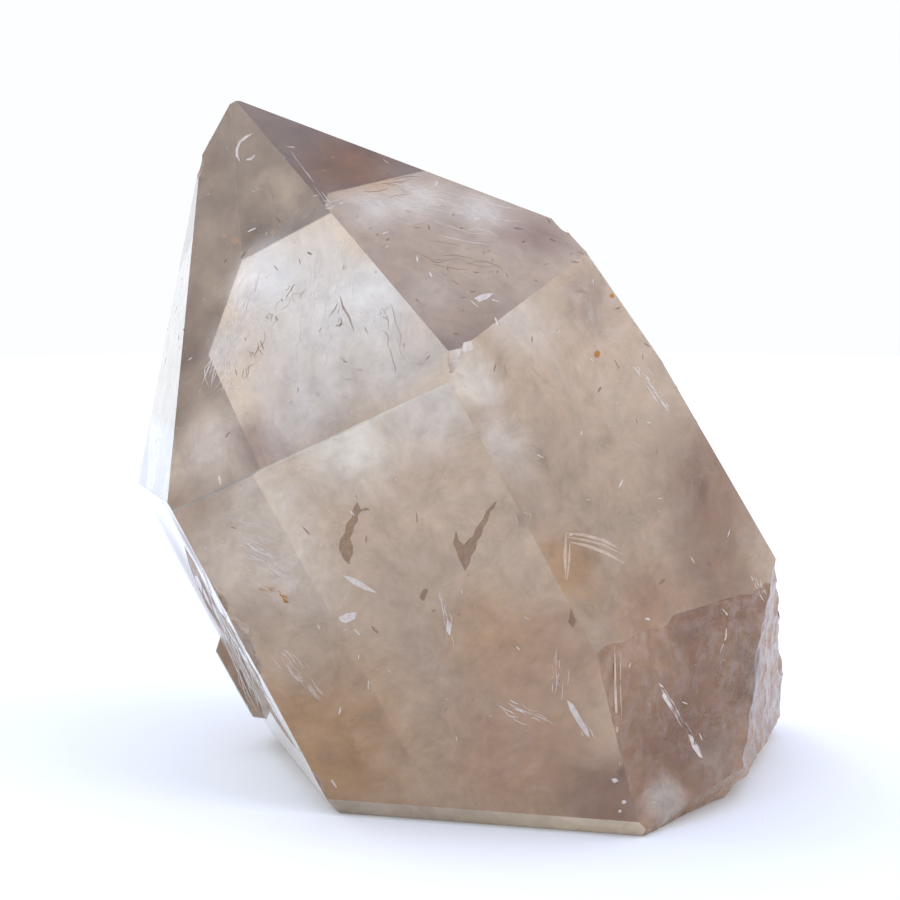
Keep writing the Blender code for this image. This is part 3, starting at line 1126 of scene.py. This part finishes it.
@dataclass
class PaleFlakesAndGlints(Inclusions):
    """The bright flakes, scratches and specks, and among them a painted glint and a painted highlight line.
    """

    name: str = "pale_flakes_and_glints"
    finish: InclusionFinish = InclusionFinish("air_gap_and_glint", "d6cabf", "f2eae2", 0.6, roughness=0.3)
    slivers: int = 450
    sliver_seed: int = 22
    dust: int = 260
    dust_seed: int = 5
    marks: tuple[Mark, ...] = (
        Outline("long_flake", ((342, 575), (352, 577), (365, 584), (377, 593), (365, 590), (353, 584))),
        Outline("round_flake", ((339, 617), (347, 613), (357, 612), (355, 619), (346, 623), (340, 621))),
        Outline("seam_flake", ((474, 298), (482, 294), (494, 293), (487, 299), (479, 302))),
        Outline("edge_flake", ((515, 514), (524, 512), (531, 515), (528, 526), (518, 526))),
        Outline("middle_chip", ((447, 620), (452, 624), (450, 636), (446, 630))),
        Outline("foot_chip", ((611, 779), (616, 778), (619, 781), (614, 783))),
        Outline("lower_blade", (
            (567, 700), (573, 704), (580, 716), (588, 730), (590, 738), (586, 735), (577, 722), (570, 710))),
        Outline("broken_corner_blade", (
            (659, 683), (663, 686), (667, 697), (674, 710), (678, 719), (671, 710), (663, 698))),
        Outline("broken_corner_flake", (
            (688, 734), (693, 737), (697, 746), (703, 758), (699, 757), (692, 747))),
        Blot("upper_dot", 624, 802, 2.2),
        Blot("lower_dot", 620, 811, 1.6),
        # The arc on the point is a painted glint: a pale curved stroke where light catches the stone.
        Line("painted_glint_arc", 2.6, ((252, 134), (246, 137), (240, 142), (237, 149), (237, 156), (240, 161))),
        Line("painted_glint_arc_end", 2.6, ((246, 160), (251, 159), (255, 155))),
        Wisp("around_the_lower_blade", (569, 703), (590, 740), 8, 0.9, 2.2),
        Wisp("around_the_corner_blades", (660, 684), (703, 757), 10, 0.9, 1.8),
        Wisp("right_scratch", (635, 364), (668, 412), 14, 1.3, 2.2),
        Wisp("low_left_scuff", (280, 650), (322, 700), 20, 0.6, 4.0),
        Wisp("left_scuff", (236, 540), (292, 572), 44, 0.6, 6.0),
        Wisp("upper_left_scuff", (215, 515), (290, 545), 16, 0.5, 7.0),
        Wisp("upright_scuff", (560, 640), (556, 700), 10, 0.7, 5.0),
        Wisp("middle_scuff", (440, 590), (452, 650), 8, 0.7, 3.0),
        Wisp("point_sweep", (350, 196), (520, 228), 22, 0.5, 9.0),
        Wisp("point_upper_sweep", (385, 183), (500, 212), 14, 0.6, 4.0),
        # These three bundles of pale strands lie over the bright patch of painted light on the point.
        Wisp("bright_patch_left_rim", (258, 262), (215, 390), 46, 0.8, 9.0),
        Wisp("bright_patch_middle", (335, 235), (310, 390), 26, 0.5, 14.0),
        Wisp("bright_patch_top", (322, 205), (345, 200), 8, 0.9, 3.0),
        # Pale strands along the ridge of the point: a painted highlight line.
        Wisp("painted_ridge_highlight", (285, 145), (330, 205), 5, 0.5, 0.8),
        Wisp("left_edge_wear", (200, 565), (270, 735), 26, 1.1, 4.0),
        Wisp("lower_scuff", (560, 730), (500, 700), 12, 1.0, 5.0),
        Wisp("right_edge_wear", (748, 566), (766, 600), 8, 1.0, 3.0),
        Line("broken_corner_ripple", 1.2, ((716, 602), (727, 614), (726, 637), (720, 653))),
    )


@dataclass
class GrowthLines(Inclusions):
    """The pale edges of an earlier stage of growth."""

    name: str = "growth_lines"
    finish: InclusionFinish = InclusionFinish("old_crystal_skin", "dcc2aa", "f0dcc8", 0.42)
    marks: tuple[Mark, ...] = (
        Line("upper_rib", 3.0, ((566, 533), (584, 535), (603, 540), (620, 549))),
        Line("middle_rib", 2.0, ((567, 537), (585, 540), (604, 545), (624, 555))),
        Line("lower_rib", 3.2, ((570, 542), (588, 546), (606, 553), (624, 563))),
        Line("upright_rib", 3.4, ((566, 533), (565, 556), (564, 580), (563, 603))),
        Line("inner_rib", 2.4, ((570, 543), (569, 560), (567, 580))),
        Line("corner_rib", 2.6, ((614.7, 645), (615.2, 690), (617, 730), (620, 765))),
        Line("corner_inner_rib", 1.4, ((620, 652), (620.5, 690), (621.6, 720))),
    )


@dataclass
class FracturedSkin(Inclusions):
    """The stained break down the edge at the lower left."""

    name: str = "fractured_skin"
    finish: InclusionFinish = InclusionFinish(
        "stained_break", "a68972", "cdb8a6", 0.5, grain=Pattern(0.9, 3.0, 0.6))
    thickness_mm: float = 0.03
    marks: tuple[Mark, ...] = (
        Outline("edge_break", (
            (184, 545), (194, 562), (202, 578), (209, 592), (214, 601), (219, 611), (225, 617), (234, 632),
            (239, 643), (246, 655), (251, 664), (258, 675), (263, 688), (272, 704), (279, 718), (287, 732),
            (297, 749), (293, 745), (284, 733), (276, 721), (268, 708), (262, 695), (254, 682), (246, 668),
            (238, 655), (232, 645), (226, 636), (219, 627), (213, 617), (207, 607), (201, 594), (195, 580),
            (189, 564)), STAIN_MM),
    )


@dataclass
class RustSpots(Inclusions):
    """The amber and red-brown spots."""

    name: str = "rust_spots"
    finish: InclusionFinish = InclusionFinish("iron_rust", "a9712f", "c98a3f", 0.7)
    marks: tuple[Mark, ...] = (
        Blot("right_speck", 597, 354, 3.6),
        Blot("upper_right_speck", 612, 296, 3.0, flat=0.7),
        Wisp("red_speck", (275, 591), (289, 602), 9, 1.3, 1.8),
        Wisp("red_speck_tail", (257, 586), (277, 590), 8, 0.7, 3.0),
        Blot("deep_speck_1", 234, 240, 4.5, depth_mm=0.6),
        Blot("deep_speck_2", 252, 252, 3.2, depth_mm=0.6),
        Blot("deep_speck_3", 273, 232, 3.0, depth_mm=0.6),
        Blot("deep_speck_4", 225, 236, 2.2, depth_mm=0.6),
        Blot("deep_speck_5", 603, 560, 1.4, depth_mm=0.6),
    )


@dataclass(frozen=True)
class SoftBox:
    """A square lamp: its name, where it hangs, the side of its face and its power."""

    name: str
    place: tuple[float, float, float]
    size: float = 0.8
    watts: float = 3.0


@dataclass
class Studio:
    """A pale table under a soft sky, with a soft lamp on each side."""

    table_radius: float = 0.5
    table_corners: int = 96
    table_gap_mm: float = 0.05
    horizon_hex: str = "fdfeff"
    zenith_hex: str = "d0d9ff"
    sky_strength: float = 1.0
    zenith_strength: float = 1.42
    sky_share: Span = Span(0.1, 0.9)
    card: MattPaper = MattPaper()
    aim_mm: float = 35.0
    lamps: tuple[SoftBox, ...] = (
        SoftBox("right_soft_box", (0.6, -0.3, 0.75)),
        SoftBox("left_soft_box", (-0.65, 0.35, 0.7)),
    )

    def add_table(self) -> None:
        """Adds the table, a little under the crystal."""
        mesh = bmesh.new()
        bmesh.ops.create_circle(mesh, cap_ends=True, radius=self.table_radius, segments=self.table_corners)
        data = bpy.data.meshes.new("table")
        mesh.to_mesh(data)
        mesh.free()
        data.materials.append(self.card.material())
        table = bpy.data.objects.new("table", data)
        table.location.z = -self.table_gap_mm * MM
        bpy.context.scene.collection.objects.link(table)

    def add_sky(self) -> None:
        """Adds the sky, which gets colder and brighter towards its top."""
        world = bpy.data.worlds.new("soft_sky")
        world.use_nodes = True
        tree = world.node_tree
        background = tree.nodes["Background"]
        way = add_node(tree, "TexCoord").outputs["Generated"]
        height = add_node(tree, "SeparateXYZ", {0: way}).outputs["Z"]
        share = add_node(tree, "MapRange", {"Value": height, **self.sky_share.ends}).outputs["Result"]
        zenith = [part * self.zenith_strength for part in linear(self.zenith_hex)]
        sky = add_node(tree, "Mix", {
            MIX_SHARE: share, COLOUR_LOW: linear(self.horizon_hex), COLOUR_HIGH: zenith},
            data_type="RGBA").outputs[COLOUR_OUT]
        tree.links.new(sky, background.inputs["Color"])
        background.inputs["Strength"].default_value = self.sky_strength
        bpy.context.scene.world = world

    def add_lamp(self, box: SoftBox) -> None:
        """Adds one soft lamp that looks at the crystal.

        Args:
            box: what the lamp is like.
        """
        lamp = bpy.data.lights.new(box.name, "AREA")
        lamp.size = box.size
        lamp.energy = box.watts
        holder = bpy.data.objects.new(box.name, lamp)
        place = Vector(box.place)
        aim = Vector((0, 0, self.aim_mm * MM))
        holder.location = place
        holder.rotation_euler = (aim - place).to_track_quat("-Z", "Y").to_euler()
        bpy.context.scene.collection.objects.link(holder)

    def build(self) -> None:
        """Adds the table, the sky and the lamps."""
        self.add_table()
        self.add_sky()
        for box in self.lamps:
            self.add_lamp(box)
        LOG.info("studio: table and %d lamps", len(self.lamps))


def main() -> None:
    """Builds the crystal, its marks and the studio, and reports each piece."""
    logging.basicConfig(level=logging.INFO, format="%(name)s: %(message)s")
    view = PhotoView()
    view.add_camera()
    crystal = CrystalBody()
    crystal.build(view)
    for marks in (SmokyGaps, PaleFlakesAndGlints, GrowthLines, FracturedSkin, RustSpots):
        marks(crystal, view).build()
    Studio().build()
    scene = bpy.context.scene
    scene.view_settings.view_transform = "Standard"
    scene.cycles.max_bounces = STONE_BOUNCES
    scene.cycles.transmission_bounces = STONE_BOUNCES
    scene.cycles.glossy_bounces = GLOSS_BOUNCES
    scene.cycles.transparent_max_bounces = STONE_BOUNCES


if __name__ == "__main__":
    main()
